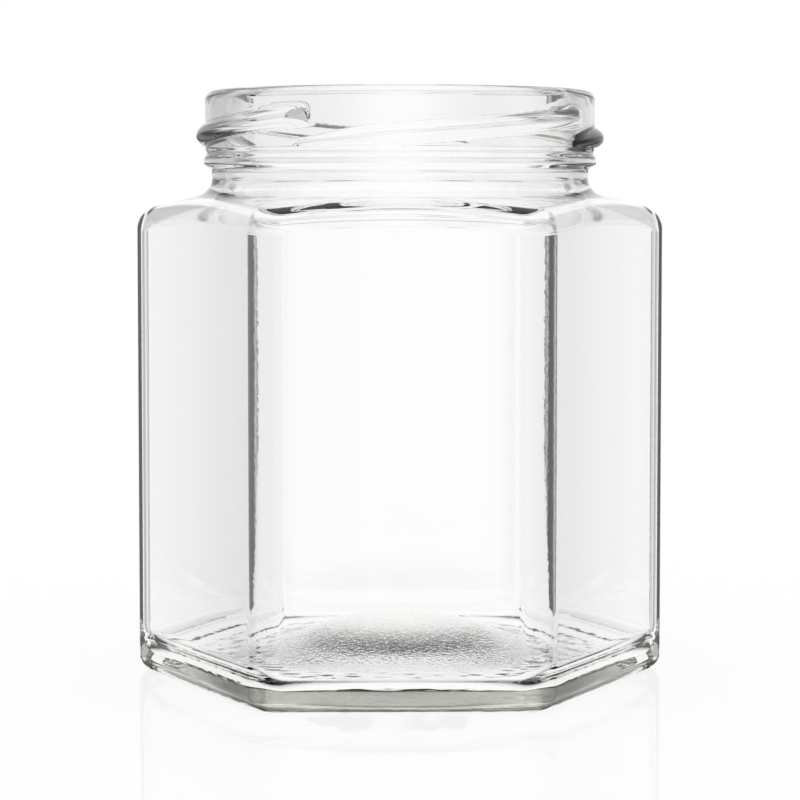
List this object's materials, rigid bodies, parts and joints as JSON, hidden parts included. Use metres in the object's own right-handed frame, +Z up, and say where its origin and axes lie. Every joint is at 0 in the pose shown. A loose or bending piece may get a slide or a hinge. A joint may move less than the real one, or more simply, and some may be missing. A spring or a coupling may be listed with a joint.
{
  "type": "hexagonal glass jar",
  "caption": "Empty clear glass jar with a hexagonal body, sloping shoulder and a round screw-lug neck for a twist-off lid, open at the top.",
  "frame": {"origin": "centre of the foot, on the surface the jar stands on", "axes": "+Z up along the neck's axis; one flat face looks along -Y, and two upright edges lie on the X axis"},
  "size_m": [0.0728, 0.0644, 0.0805],
  "materials": {
    "glass": "clear flint glass, glossy, with a faint grey-green tint in thick places"
  },
  "bodies": {
    "root": {"jar": "glass"}
  },
  "joints": []
}
